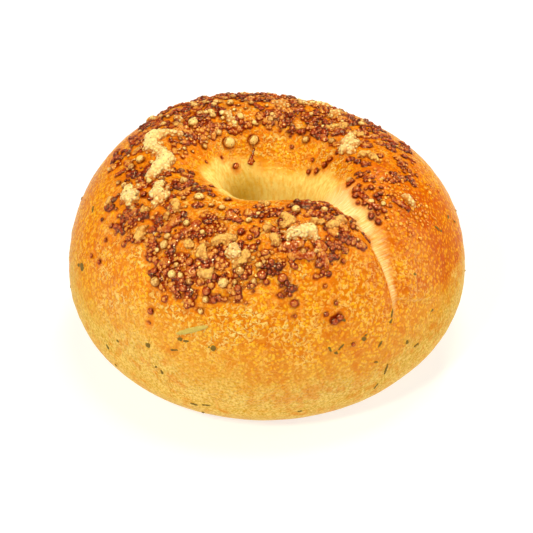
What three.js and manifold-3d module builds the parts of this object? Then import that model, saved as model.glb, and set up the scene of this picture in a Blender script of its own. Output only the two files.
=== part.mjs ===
// A cheese-topped bagel: one solid ring of dough, fatter outside than in, that rests on a flat heel.
// The two ends of the dough rope overlap in a seam that cuts across the crown and opens into the hole.
// Curds and beads of baked cheese are fused to the crust round the crown.
// Millimetres, +Z up, origin on the table under the middle of the ring.
import * as THREE from "three";
import { mergeVertices } from "three/addons/utils/BufferGeometryUtils.js";
import Module from "manifold-3d";

// ---- the ring of dough
const HOLE_X = 0.36; // from the middle of the outline to the axis of the hole
const HOLE_Y = 1.0;
const EQUATOR_HEIGHT = 19.8; // level of the widest girth above the table
const RING_RADIUS = 25.2; // from the axis to the middle of the dough rope
const OUTER_REACH = 27.3; // from the middle of the rope out to the girth
const INNER_REACH = 18.4; // from the middle of the rope in to the throat of the hole
const CROWN_RISE = 34.9; // from the girth up to the crown
const BELLY_DROP = 23.3; // from the girth down to where the underside would end if it weren't flat
const HEEL_ROUNDING = 1.8; // half the height over which the underside turns into the flat heel
const FOLD_AT = -138; // degrees round the ring to a fold that bulges into the hole
const FOLD_SPREAD = 19;
const FOLD_IN = 2.8; // how far it bulges in, above the girth
const FOLD_UP = 1.2; // and up

// ---- the seam where the rope's ends overlap
const SEAM_AT_CROWN = -50; // degrees round the ring
const SEAM_SWING_OUTSIDE = -5.5; // degrees that it wanders low on the flank
const SEAM_SWING_INSIDE = -15; // and on its way down the wall of the hole
const SEAM_DEPTH = 5.6; // at its deepest, on the shoulder of the hole
const LIP_WIDTH = 1.2; // how far the overlapping end rounds over, on the flank
const LIP_WIDTH_GAIN = 6.3; // and how much softer it is at the hole
const VALLEY_WIDTH = 1.3; // how wide the other side slopes up, on the flank
const VALLEY_WIDTH_GAIN = 8.5;

// ---- the mesh of the dough
const RING_STEPS = 84;
const SECTION_STEPS = 28;
const SEAM_CROWDING = 0.18; // 0 spaces the steps round the ring evenly, more crowds them at the seam

// ---- baked cheese
const CURD_HEIGHT = 0.62; // of a curd's half-width
const CURD_SPACING = 1.15; // of a curd's half-width, along a strand
const STRAND_COUNT = 20;
const FATTEST_STRAND = 2.5; // half-width
const THINNEST_STRAND = 1.5;
const FEWEST_CURDS = 2; // in a strand
const MOST_CURDS = 3;
const STRAND_WANDER = 60; // degrees that a strand may turn from one curd to the next
const STRAND_GAP = 1.6; // least distance between two strands' first curds, over the sum of their half-widths
const STRAND_SEED = 8;
const ROUND_LUMP = 2.1; // a thicker lump has four times the faces
const BEAD_COUNT = 84;
const LARGEST_BEAD = 1.55; // half-width
const SMALLEST_BEAD = 1.05;
const BEAD_GAP = 1.5; // least distance between two beads, over the sum of their half-widths
const BEAD_SEED = 7;

const degrees = THREE.MathUtils.degToRad;
const ease = (t) => THREE.MathUtils.smoothstep(t, 0, 1);
const wave = (angle, turns, phase) =>
  Math.cos(turns * degrees(angle) - degrees(phase));
const turnBetween = (angle, from) => THREE.MathUtils.euclideanModulo(angle - from + 180, 360) - 180;

// How far the rope reaches out, in and up at two angles: no bagel is quite round.
function reaches(around, up) {
  const fold = Math.exp(-((turnBetween(around, FOLD_AT) / FOLD_SPREAD) ** 2)) * Math.max(0, Math.sin(degrees(up)));
  return {
    out: OUTER_REACH + 0.8 * wave(around, 1, 210) + 0.45 * wave(around, 2, 0) + 0.7 * wave(around, 3, 60),
    in: INNER_REACH + 0.4 * wave(around, 1, 150) + 0.75 * wave(around, 2, 67) + FOLD_IN * fold,
    up: CROWN_RISE + 0.45 * wave(around, 1, 230) + 1.6 * wave(around, 2, 248) + FOLD_UP * fold,
  };
}

// The seam's angle round the ring at this angle up the section, -90 and 270 being the middle of the heel.
function seamAngle(up) {
  const outside = ease((30 - up) / 35) * ease((up + 90) / 60);
  const inside = ease((up - 102) / 38) * ease((270 - up) / 60);
  return SEAM_AT_CROWN + SEAM_SWING_OUTSIDE * outside + SEAM_SWING_INSIDE * inside;
}

// How far the seam sinks the crust at this distance from it: a steep lip on the overlapping end,
// and a slope that rises slowly on the other.
function seamSink(distance, up) {
  const depth = SEAM_DEPTH * ease((up + 5) / 115) * (1 - ease((up - 120) / 110));
  const lip = LIP_WIDTH + LIP_WIDTH_GAIN * ease((up - 30) / 120);
  const valley = VALLEY_WIDTH + VALLEY_WIDTH_GAIN * ease((up + 5) / 110);
  return distance < 0
    ? depth * Math.exp(-((-distance / lip) ** 1.2))
    : depth * Math.exp(-((distance / valley) ** 1.6));
}

// The underside turned flat where it would pass through the table.
function flattened(height) {
  if (height > HEEL_ROUNDING) return height;
  if (height < -HEEL_ROUNDING) return 0;
  return (height + HEEL_ROUNDING) ** 2 / (4 * HEEL_ROUNDING);
}

// The crust at two angles in degrees: around the ring, and up the section from the girth.
function crust(around, up) {
  const reach = reaches(around, up);
  const cosine = Math.cos(degrees(up));
  const sine = Math.sin(degrees(up));
  const half = cosine >= 0 ? reach.out : reach.in;
  const rise = sine >= 0 ? reach.up : BELLY_DROP;
  const radius = RING_RADIUS + half * cosine;
  const outward = new THREE.Vector3(Math.cos(degrees(around)), Math.sin(degrees(around)), 0);
  const normal = outward.clone().multiplyScalar(cosine / half);
  normal.z = sine / rise;
  normal.normalize();
  const sink = seamSink(degrees(turnBetween(around, seamAngle(up))) * radius, up);
  const point = outward.multiplyScalar(radius);
  point.z = EQUATOR_HEIGHT + rise * sine;
  point.addScaledVector(normal, -sink);
  point.z = flattened(point.z);
  return { point, normal };
}

// A closed grid of crust points whose rows follow the seam.
function doughGeometry() {
  const positions = [];
  const triangles = [];
  for (let i = 0; i < RING_STEPS; i++) {
    const share = (2 * i) / RING_STEPS - 1;
    const offSeam = 180 * (share - SEAM_CROWDING * Math.sin(Math.PI * share));
    for (let j = 0; j < SECTION_STEPS; j++) {
      const up = -90 + (360 * j) / SECTION_STEPS;
      positions.push(...crust(seamAngle(up) + offSeam, up).point.toArray());
      const nextRow = ((i + 1) % RING_STEPS) * SECTION_STEPS;
      const nextColumn = (j + 1) % SECTION_STEPS;
      const here = i * SECTION_STEPS;
      triangles.push(here + j, nextRow + j, nextRow + nextColumn);
      triangles.push(here + j, nextRow + nextColumn, here + nextColumn);
    }
  }
  const geometry = new THREE.BufferGeometry();
  geometry.setAttribute("position", new THREE.Float32BufferAttribute(positions, 3));
  geometry.setIndex(triangles);
  return geometry;
}

// A faceted lump of cheese, sunk to about its middle in the crust.
function lumpGeometry(around, up, half, turn) {
  const detail = half > ROUND_LUMP ? 1 : 0;
  const geometry = new THREE.IcosahedronGeometry(half, detail);
  geometry.deleteAttribute("normal");
  geometry.deleteAttribute("uv");
  const { point, normal } = crust(around, up);
  const upright = new THREE.Quaternion().setFromUnitVectors(new THREE.Vector3(0, 0, 1), normal);
  geometry.rotateX(turn);
  geometry.rotateZ(turn);
  geometry.scale(1, 1, CURD_HEIGHT);
  geometry.applyQuaternion(upright);
  geometry.translate(...point.toArray());
  return mergeVertices(geometry, 1e-3);
}

// The same sequence of numbers from 0 to 1 for the same seed.
function seededRandom(seed) {
  let state = seed;
  return () => {
    state = (Math.imul(state, 1664525) + 1013904223) >>> 0;
    return state / 2 ** 32;
  };
}

// How thickly cheese lies here, from 0 to 1: all round the crown, thin over the right-hand lobe,
// and none in the seam.
function cheeseCover(around, up) {
  const band = ease((up - 38) / 20) * (1 - ease((up - 98) / 22));
  const lobe = 1 - 0.85 * Math.exp(-((turnBetween(around, -18) / 34) ** 2));
  return Math.abs(turnBetween(around, seamAngle(up))) < 9 ? 0 : band * lobe;
}

// Places for lumps of cheese, thickest first, thrown at the crust where it is covered and kept clear of
// each other by so many times the sum of their half-widths.
function cheesePlaces(count, thickest, thinnest, gap, random) {
  const places = [];
  while (places.length < count) {
    const half = THREE.MathUtils.lerp(thickest, thinnest, places.length / count);
    const around = 360 * random() - 180;
    const up = 30 + 90 * random();
    const { point } = crust(around, up);
    const wanted = cheeseCover(around, up) * (Math.hypot(point.x, point.y) / (RING_RADIUS + OUTER_REACH));
    if (random() > wanted) continue;
    if (places.some((p) => p.point.distanceTo(point) < gap * (p.half + half))) continue;
    places.push({ point, half, around, up });
  }
  return places;
}

// The angle round the ring at which the crown stands highest.
function highestCrown() {
  const turns = Array.from({ length: 360 }, (_, turn) => turn);
  return turns.reduce((best, turn) => (crust(turn, 90).point.z > crust(best, 90).point.z ? turn : best));
}

// Strands of a few curds that wander over the crust. One more lies on the highest place of the crown.
function curdGeometries() {
  const random = seededRandom(STRAND_SEED);
  const starts = cheesePlaces(STRAND_COUNT, FATTEST_STRAND, THINNEST_STRAND, STRAND_GAP, random);
  starts.push({ around: highestCrown(), up: 90, half: (FATTEST_STRAND + THINNEST_STRAND) / 2 });
  const lumps = [];
  for (let { around, up, half } of starts) {
    const curds = FEWEST_CURDS + Math.floor((MOST_CURDS - FEWEST_CURDS + 1) * random());
    let heading = 360 * random();
    for (let k = 0; k < curds; k++) {
      lumps.push(lumpGeometry(around, up, half, Math.PI * random()));
      const { point } = crust(around, up);
      const step = THREE.MathUtils.radToDeg(CURD_SPACING * half);
      around += (step * Math.cos(degrees(heading))) / Math.hypot(point.x, point.y);
      up += (step * Math.sin(degrees(heading))) / OUTER_REACH;
      heading += STRAND_WANDER * (2 * random() - 1);
    }
  }
  return lumps;
}

// Single beads between the curds.
function beadGeometries() {
  const random = seededRandom(BEAD_SEED);
  const places = cheesePlaces(BEAD_COUNT, LARGEST_BEAD, SMALLEST_BEAD, BEAD_GAP, random);
  return places.map(({ around, up, half }) => lumpGeometry(around, up, half, Math.PI * random()));
}

const wasm = await Module();
wasm.setup();

function solidOf(geometry) {
  return new wasm.Manifold(
    new wasm.Mesh({
      numProp: 3,
      vertProperties: geometry.getAttribute("position").array,
      triVerts: new Uint32Array(geometry.getIndex().array),
    }),
  );
}

function geometryOf(solid) {
  const mesh = solid.getMesh();
  const geometry = new THREE.BufferGeometry();
  geometry.setAttribute("position", new THREE.BufferAttribute(mesh.vertProperties, 3));
  geometry.setIndex(new THREE.BufferAttribute(mesh.triVerts, 1));
  geometry.computeVertexNormals();
  return geometry;
}

const toppings = [...curdGeometries(), ...beadGeometries()].map(solidOf);
const bagelSolid = toppings.reduce((whole, lump) => whole.add(lump), solidOf(doughGeometry()));

const crustMaterial = new THREE.MeshStandardMaterial({ color: 0xd98a2b, roughness: 0.45, metalness: 0 });
const bagel = new THREE.Mesh(geometryOf(bagelSolid), crustMaterial);
bagel.name = "bagel";
bagel.position.set(HOLE_X, HOLE_Y, 0);

const group = new THREE.Group();
group.add(bagel);
export default group;
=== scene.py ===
import bpy
import numpy as np
from bpy.props import FloatProperty, FloatVectorProperty, IntProperty, PointerProperty
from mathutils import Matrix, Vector, noise
from mathutils.bvhtree import BVHTree
from mathutils.kdtree import KDTree


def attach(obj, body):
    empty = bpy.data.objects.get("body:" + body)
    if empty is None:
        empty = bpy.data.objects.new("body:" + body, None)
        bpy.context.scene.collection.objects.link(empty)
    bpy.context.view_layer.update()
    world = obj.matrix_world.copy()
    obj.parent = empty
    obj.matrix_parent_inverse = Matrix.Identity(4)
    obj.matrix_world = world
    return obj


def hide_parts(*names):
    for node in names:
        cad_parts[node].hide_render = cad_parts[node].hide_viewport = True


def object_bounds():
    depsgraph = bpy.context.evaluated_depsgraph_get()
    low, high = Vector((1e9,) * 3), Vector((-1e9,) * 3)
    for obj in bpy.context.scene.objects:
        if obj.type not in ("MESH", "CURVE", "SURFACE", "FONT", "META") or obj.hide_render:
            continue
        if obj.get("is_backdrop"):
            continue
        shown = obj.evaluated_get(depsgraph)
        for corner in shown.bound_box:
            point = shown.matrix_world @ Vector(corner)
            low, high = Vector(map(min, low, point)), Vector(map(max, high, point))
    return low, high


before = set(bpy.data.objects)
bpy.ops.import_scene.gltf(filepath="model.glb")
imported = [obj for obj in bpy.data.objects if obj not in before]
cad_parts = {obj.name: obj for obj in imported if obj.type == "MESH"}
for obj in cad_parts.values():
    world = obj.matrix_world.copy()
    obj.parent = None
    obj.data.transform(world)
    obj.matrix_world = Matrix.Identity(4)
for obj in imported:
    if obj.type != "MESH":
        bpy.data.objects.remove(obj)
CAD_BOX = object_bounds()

bl_info = {
    "name": "Cheese bagel",
    "version": (1, 0, 0),
    "blender": (4, 5, 0),
    "location": "3D View > Sidebar > Bagel",
    "description": "Dresses a bagel: blistered crust, melted curds, toasted cheese beads and herbs",
    "category": "Add Mesh",
}

MM = 0.001

# ---- the ring of dough, in millimetres, as in the frame
HOLE = (0.36, 1.0)  # from the middle of the outline to the axis of the hole
EQUATOR_HEIGHT = 19.8  # level of the widest girth above the table
RING_RADIUS = 25.2  # from the axis to the middle of the dough rope
OUTER_REACH = 27.3  # from the middle of the rope out to the girth
INNER_REACH = 18.4  # from the middle of the rope in to the throat of the hole
CROWN_RISE = 34.9  # from the girth up to the crown
BELLY_DROP = 23.3  # from the girth down to where the underside would end if it weren't flat
HEEL_ROUNDING = 1.8  # half the height over which the underside turns into the flat heel
FOLD_AT, FOLD_SPREAD = -138, 19  # degrees round the ring to a fold that bulges into the hole
FOLD_IN, FOLD_UP = 2.8, 1.2  # how far it bulges in above the girth, and up

# ---- the seam where the rope's ends overlap
SEAM_AT_CROWN = -50  # degrees round the ring
SEAM_SWING_OUTSIDE = -5.5
SEAM_SWING_INSIDE = -15
SEAM_DEPTH = 5.6
LIP_WIDTH, LIP_WIDTH_GAIN = 1.2, 6.3
VALLEY_WIDTH, VALLEY_WIDTH_GAIN = 1.3, 8.5

# ---- the crust's mesh
RING_STEPS = 440
SECTION_STEPS = 218
SEAM_CROWDING = 0.18  # more crowds the steps round the ring at the seam
SECTION_MM_A_DEGREE = 0.55  # length of the section for each degree up it
SECTION_SPREAD = ((0.0, -90), (0.09, -30), (0.78, 125), (1.0, 270))  # share of the steps, degrees up

# ---- the view that the camera takes, and in which curds, beads and herbs are placed
VIEW_DOWN = 35  # degrees that it looks down
VIEW_DISTANCE = 480  # from the middle of the girth
VIEW_SHIFT = (-0.45, -0.32)  # how far right of the middle of the hole, and above it, the camera aims
LENS, SENSOR = 121.7, 36
PICTURE = 533  # pixels across; places in it are pixels right of its left edge and below its top edge

# ---- curds of pale cheese: for each a run of lumps, given as pixels right, pixels down, half-width
CURDS = {
    "hook": (
        (181, 135, 0.8), (173, 134, 1.1), (163, 135, 1.5), (153, 140, 2.3), (151, 148, 1.9), (161, 153, 1.5),
        (168, 162, 2.2), (160, 169, 2.2), (151, 178, 1.4),
    ),
    "left": ((130, 191, 1.7), (127, 199, 1.5), (134, 197, 2.0), (131, 204, 1.3)),
    "under_hook": ((160, 186, 1.4), (157, 195, 1.8), (165, 197, 1.5), (156, 204, 1.3)),
    "front": ((287, 237, 1.0), (293, 234, 1.6), (301, 232, 1.7), (310, 231, 1.9), (314, 238, 1.0)),
    "front_left": ((235, 248, 1.4), (229, 253, 1.2), (236, 254, 1.6)),
    "right": ((352, 137, 1.2), (347, 144, 1.7), (355, 145, 1.5), (345, 151, 1.6), (352, 152, 1.3)),
    "back_right": ((304, 104, 0.8), (313, 105, 1.1), (322, 106, 1.1), (330, 108, 0.9)),
    "far_right": ((330, 117, 0.7), (336, 114, 1.2), (344, 115, 0.9)),
    "back": ((222, 114, 0.9), (228, 114, 1.0), (230, 120, 1.1), (236, 126, 0.8)),
    "middle": ((277, 104, 0.8), (282, 105, 1.1)),
    "lobe": ((406, 199, 1.2), (410, 203, 1.2), (413, 207, 0.7)),
    "back_left": ((150, 121, 0.9), (154, 120, 1.1)),
    "ridge": ((177, 118, 1.0), (182, 121, 0.8)),
}
# ---- curds that browned to tan, laid out in the same way
TAN_CURDS = {
    "front_top": ((285, 217, 1.2), (292, 222, 1.2), (283, 226, 1.0)),
    "front_end": ((314, 222, 1.0), (321, 222, 0.9)),
    "front_side": ((274, 238, 1.3), (277, 243, 1.0)),
    "shoulder": ((329, 226, 1.2), (335, 224, 1.2), (341, 219, 1.0), (344, 222, 0.7)),
    "strip": ((215, 242, 1.2), (221, 239, 1.2), (227, 238, 1.2), (234, 238, 0.9), (226, 243, 0.9)),
    "front_left": ((246, 254, 1.3), (245, 260, 1.1), (239, 262, 1.1), (235, 266, 0.9)),
    "low": ((202, 273, 1.2), (209, 274, 1.3)),
    "left": ((203, 248, 1.2), (199, 254, 1.0), (206, 256, 1.0)),
    "leftmost": ((111, 201, 1.1), (108, 205, 0.9)),
    "beside_left": ((176, 204, 1.2), (177, 209, 1.0)),
    "below_left": ((168, 215, 0.9), (167, 218, 0.8)),
    "outer_left": ((144, 228, 0.8), (141, 236, 1.5)),
    "small": ((266, 229, 1.0), (271, 228, 0.8)),
    "cap": ((354, 134, 1.0), (360, 136, 1.1)),
    "right_low": ((363, 156, 1.3), (368, 154, 0.9), (374, 159, 1.1), (378, 162, 0.7)),
    "far": ((328, 128, 0.8), (335, 127, 0.9), (345, 127, 1.0)),
    "rim": ((262, 204, 1.0), (267, 205, 1.0)),
    "left_gap": ((144, 209, 0.9), (149, 210, 0.7)),
    "left_edge": ((176, 125, 0.9), (181, 126, 0.8)),
    "upper_front": ((189, 244, 1.3), (191, 246, 1.0)),
    "beside_hook": ((139, 150, 0.7), (135, 153, 0.6)),
}
# ---- flat masses of cheese fried to a dark glaze, laid out in the same way
GLAZES = {
    "left": ((170, 226, 1.1), (176, 221, 1.4), (179, 217, 0.8)),
    "left_low": ((163, 230, 0.9), (169, 231, 0.9)),
    "beside": ((197, 224, 1.2), (191, 229, 1.0), (184, 233, 0.8)),
    "front": ((285, 245, 1.0), (293, 246, 1.1), (301, 243, 1.0)),
    "front_right": ((318, 243, 1.0), (324, 248, 1.0)),
    "front_low": ((291, 256, 1.1), (300, 255, 1.1), (311, 256, 1.2)),
    "front_tip": ((291, 263, 0.8), (295, 267, 0.8)),
    "round": ((255, 231, 1.1), (257, 234, 0.9)),
    "rim": ((229, 214, 1.1), (234, 218, 1.0), (240, 222, 0.8)),
    "shoulder": ((309, 213, 0.8), (315, 214, 0.8), (321, 214, 0.7)),
    "low": ((190, 270, 1.1), (194, 274, 0.9)),
    "middle": ((165, 261, 1.1), (169, 262, 0.9)),
    "seam": ((325, 260, 1.0), (326, 267, 0.8)),
    "lobe": ((394, 201, 0.7), (402, 205, 0.9), (408, 209, 0.7)),
    "lobe_top": ((366, 178, 0.7), (372, 178, 0.9)),
    "lobe_seam": ((357, 192, 0.8), (364, 198, 0.9), (371, 204, 0.8), (379, 208, 0.8)),
    "far_right": ((383, 140, 0.6), (389, 141, 0.8), (396, 144, 0.7)),
    "far_left": ((131, 146, 0.7), (138, 143, 0.7)),
    "outer_left": ((118, 175, 0.8), (124, 171, 0.8)),
    "back": ((256, 106, 0.8), (262, 109, 0.8)),
    "back_right": ((293, 110, 0.9), (301, 111, 0.9)),
    "under_far": ((323, 137, 0.9), (326, 141, 0.8)),
    "drip": ((254, 149, 0.35), (252, 156, 0.4), (250, 163, 0.8)),
}
# ---- round beads of cheese: pixels right, pixels down, radius
PALE_BEADS = (
    (194, 100, 1.0), (164, 125, 0.8), (193, 124, 1.45), (200, 114, 0.9), (211, 113, 1.1), (216, 103, 0.8),
    (208, 103, 0.5), (230, 104, 1.0), (233, 98, 0.9), (234, 110, 0.5), (240, 117, 0.9), (218, 133, 0.95),
    (228, 143, 1.5), (253, 140, 1.35), (254, 123, 0.7), (269, 96, 0.8), (242, 95, 0.7), (251, 98, 0.5),
    (311, 115, 0.7), (299, 101, 0.7), (361, 125, 0.9), (141, 161, 1.25), (152, 163, 0.7), (296, 211, 1.2),
    (173, 274, 1.2), (181, 275, 0.8), (224, 283, 1.3), (184, 183, 1.2), (199, 198, 1.2), (165, 245, 1.2),
    (249, 221, 0.8), (203, 233, 0.8), (371, 202, 0.8), (383, 204, 0.7), (342, 122, 0.6), (323, 127, 0.6),
)
TAN_BEADS = (
    (132, 168, 1.1), (157, 282, 1.5), (240, 271, 1.2), (332, 142, 0.9), (187, 224, 1.0), (259, 265, 0.9),
    (264, 262, 0.6), (177, 265, 0.8), (180, 259, 0.6), (235, 282, 0.8), (254, 281, 0.7), (204, 147, 0.8),
    (125, 186, 0.8), (133, 209, 0.8), (303, 252, 0.8), (316, 251, 0.8), (350, 181, 0.9), (306, 140, 0.9),
    (201, 311, 0.8), (228, 200, 0.8), (211, 206, 0.7), (168, 237, 0.9),
    (181, 143, 0.5), (184, 149, 0.6), (272, 115, 0.8), (270, 120, 0.9),
)
DARK_BEADS = (
    (214, 300, 0.85), (294, 303, 1.1), (188, 302, 0.8), (151, 311, 0.75), (150, 323, 0.4), (207, 291, 1.1),
    (184, 288, 1.15), (238, 288, 1.05), (262, 275, 1.2), (266, 282, 0.7), (282, 278, 1.1), (241, 232, 0.9),
    (250, 238, 0.7), (265, 253, 1.0), (271, 262, 0.8), (155, 271, 1.0), (157, 263, 0.7), (166, 272, 0.8),
    (117, 227, 0.9), (112, 226, 0.7), (121, 228, 0.7), (106, 240, 0.5), (100, 262, 0.6), (92, 256, 0.6),
    (245, 277, 0.9), (215, 277, 1.0), (190, 262, 1.0), (152, 246, 0.7), (343, 261, 0.6), (325, 286, 0.4),
    (334, 321, 1.0), (339, 317, 1.0), (326, 314, 0.5), (336, 303, 0.5), (295, 316, 0.5), (353, 344, 0.6),
    (352, 228, 0.6), (378, 222, 0.8), (371, 217, 0.9), (380, 194, 0.9), (371, 188, 0.8), (357, 191, 1.1),
    (404, 157, 0.8), (368, 145, 0.6), (235, 166, 0.9), (206, 162, 0.4), (222, 158, 0.35), (309, 172, 0.7),
    (317, 171, 0.8), (325, 165, 0.9), (330, 160, 0.7), (313, 160, 0.5), (119, 216, 0.6), (210, 232, 0.9),
    (356, 196, 0.8), (362, 193, 0.6), (365, 198, 0.8), (365, 204, 0.7), (376, 196, 0.7), (379, 199, 0.6),
    (376, 208, 0.8), (384, 211, 0.7), (371, 214, 0.6), (377, 221, 0.6), (390, 206, 0.5), (361, 176, 0.7),
    (368, 172, 0.6), (352, 182, 0.7), (366, 181, 0.6), (374, 182, 0.5), (381, 188, 0.6), (388, 196, 0.5),
    (359, 186, 0.6), (370, 208, 0.6), (387, 218, 0.5), (366, 189, 0.5), (383, 203, 0.6), (378, 214, 0.5),
    (349, 185, 0.7), (358, 203, 0.5), (144, 195, 0.9), (300, 132, 0.8), (308, 129, 0.7), (292, 147, 0.5),
)
# ---- flecks of dried herb: pixels right, pixels down, length, width, degrees turned to the left
HERBS = (
    (82, 267, 2.1, 1.7, 30), (79, 265, 1.2, 0.8, 0), (148, 345, 1.3, 1.1, 0), (174, 350, 2.0, 0.4, 0),
    (213, 348, 1.4, 1.2, 20), (209, 347, 0.6, 0.4, 0), (180, 339, 1.2, 0.8, 0), (186, 341, 1.3, 0.5, 0),
    (118, 341, 1.1, 0.45, -40), (108, 347, 1.4, 0.6, -60), (116, 365, 1.0, 0.5, -50),
    (162, 372, 1.2, 0.5, -60), (156, 367, 0.7, 0.4, 0), (194, 404, 2.0, 0.7, -15),
    (206, 405, 2.2, 0.4, -5), (392, 313, 2.2, 0.5, 80), (391, 321, 1.4, 0.5, 60), (364, 339, 1.3, 0.9, 0),
    (380, 344, 2.0, 0.35, 60), (407, 342, 1.1, 0.6, 80), (416, 345, 2.0, 0.4, 40),
    (432, 310, 0.8, 0.4, 60), (386, 369, 2.8, 0.45, 75), (376, 386, 1.8, 0.4, 55),
    (341, 347, 2.0, 0.4, 50), (336, 353, 1.0, 0.7, 0), (330, 349, 1.4, 0.5, -60), (376, 362, 1.0, 0.4, 0),
    (437, 228, 2.2, 0.5, -40), (441, 231, 0.8, 0.5, 0), (448, 217, 1.2, 0.6, 80), (300, 411, 1.0, 0.4, 0),
    (415, 274, 0.7, 0.6, 0), (203, 412, 0.8, 0.4, 0), (344, 320, 1.0, 0.6, 0), (366, 335, 0.9, 0.4, 40),
)
HIDDEN_HERBS = 14  # flecks thrown over the side away from the view
STALK = (192, 330, 8.2, 1.1, 14)  # one pale stalk, given like a fleck

# ---- finer measures, in millimetres where nothing else is said
BLISTER_LEVELS = 20  # steps in which the blisters fade out
THROWS = 4000  # beads thrown at once, until enough have found room
THROWN_FROM, THROWN_TO = 28, 128  # degrees up the section
FEW_LARGE = 2.2  # more makes large beads rarer
CLUSTER_SPREAD = 0.62  # of the beads in a cluster, as a share of its half-width
CLUSTER_FROM, CLUSTER_BELOW = 4, 16  # beads in a cluster
CRUMBS_A_LUMP = 5
CRUMB_SPREAD, CRUMB_SMALLEST, CRUMB_LARGEST = 0.55, 0.3, 0.5  # as shares of the lump's half-width
CURD_FACE, PAD_FACE = 0.2, 0.25  # width of the faces of curds and of the pads under fried beads
PAD_BEADS_FROM = 0.62  # beads with at least this half-width fried onto a pad
THREAD_LENGTH, THREAD_WIDTH = 4, 0.35  # of the threads of torn dough beside the seam
# The tight dark ring beside a bead is partly burnt crust and partly painted shadow.
STAIN_REACH, BURN_AND_SHADOW_REACH = 1.7, 0.42  # how far fat from a bead stains the crust, and burns it

# ---- the stage, in metres
FLOOR_SIZE = 5
AIM_HEIGHT = 0.025  # the lights aim this far above the table
LIGHTS = (  # name, place, width, and power as a share of the key light's
    ("key", (-0.27, -0.5, 0.56), 0.09, 1),
    ("front", (0.02, -0.75, 0.4), 0.08, 0.2),
    ("back", (0.2, 0.64, 0.44), 0.1, 0.35),
    ("top", (0.06, 0.05, 0.8), 0.25, 1.02),
    ("right", (0.66, 0.06, 0.3), 0.4, 0.7),
    ("left", (-0.66, 0.0, 0.3), 0.4, 0.26),
)

# ---- what the crust's vertices store for its material
CRUST_MARKS = (
    "golden", "bake", "cream", "stain", "burn_and_shadow", "blistered", "ridged", "wall", "deep_shade", "across", "along",
)
# ---- linear tints
# The hollow tint is partly the gaps' deeper bake and partly painted shade between the blisters.
HOLLOW_SHADE_TINT, SPOT_TINT = (0.72, 0.4, 0.12), (0.9, 0.72, 0.5)  # of the crust's hollows and thicker spots
WARM_GLOSS = (1.0, 0.84, 0.3)  # of the shine of baked starch and fat
FAT_GLOSS = (1.0, 0.82, 0.5)  # of the shine of fried skin


def linear(hex_colour):
    """The linear red, green and blue of an sRGB colour written as #RRGGBB."""
    values = [int(hex_colour[i : i + 2], 16) / 255 for i in (1, 3, 5)]
    return tuple(v / 12.92 if v <= 0.04045 else ((v + 0.055) / 1.055) ** 2.4 for v in values)


# ==== sizes and colours ===================================================================


def length(name, description, millimetres):
    return FloatProperty(name=name, description=description, default=millimetres * MM, unit="LENGTH",
                         precision=5)


def colour(name, description, hex_colour):
    return FloatVectorProperty(name=name, description=description, subtype="COLOR",
                               default=linear(hex_colour))


class BagelSizes(bpy.types.PropertyGroup):
    blister: length("Blister", "Width of a blister of the crust", 0.95)
    ridge: length("Ridge", "Distance between the fine ridges of the crust", 1.1)
    bubble: length("Bubble", "Width of a larger bubble of the crust", 2.6)
    bubble_rise: length("Bubble rise", "How far a larger bubble stands out", 0.22)
    swell: length("Swell", "How far the crust rolls in and out between dents", 0.5)
    curd_rise: FloatProperty(name="Curd rise", description="Height of a curd over half-width", default=0.85)
    glaze_rise: FloatProperty(name="Glaze rise", description="Height of a glaze over half-width", default=0.5)
    clusters: IntProperty(name="Clusters", description="How many clusters of toasted beads", default=430)
    fat_bubbles: IntProperty(name="Fat bubbles", description="How many bubbles of fried crust", default=170)
    pale_beads: IntProperty(name="Pale beads", description="How many small pale beads", default=120)


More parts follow.
